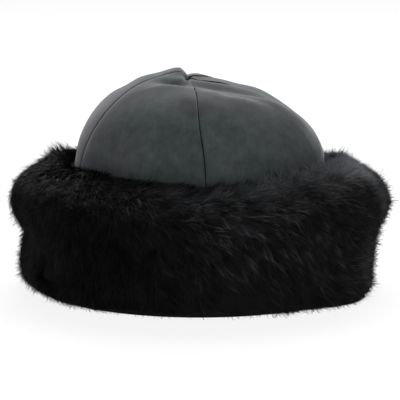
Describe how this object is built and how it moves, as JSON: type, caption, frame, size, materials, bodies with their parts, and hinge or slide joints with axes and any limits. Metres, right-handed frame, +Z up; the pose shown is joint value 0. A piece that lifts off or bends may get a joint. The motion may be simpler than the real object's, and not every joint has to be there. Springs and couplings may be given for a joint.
{
  "type": "fur-trimmed winter hat",
  "caption": "Domed suede crown sewn from gores, set in a deep turned-up cuff of long black fur, resting on its open rim",
  "frame": {"origin": "middle of the underside of the fur cuff, on the surface that the hat rests on", "axes": "+X to the wearer's left, which is the viewer's right from the front; the front of the hat faces -Y; +Z up through the crown"},
  "size_m": [0.2798, 0.2818, 0.1587],
  "materials": {
    "suede": "napped grey-green suede, matt face-on with a pale bloom at grazing angles",
    "fur": "long black fur with a soft blue-grey sheen"
  },
  "bodies": {
    "root": {"gore_front_left": "suede", "gore_front_right": "suede", "gore_back_left": "suede", "gore_back_right": "suede", "fur_cuff": "fur"}
  },
  "joints": []
}
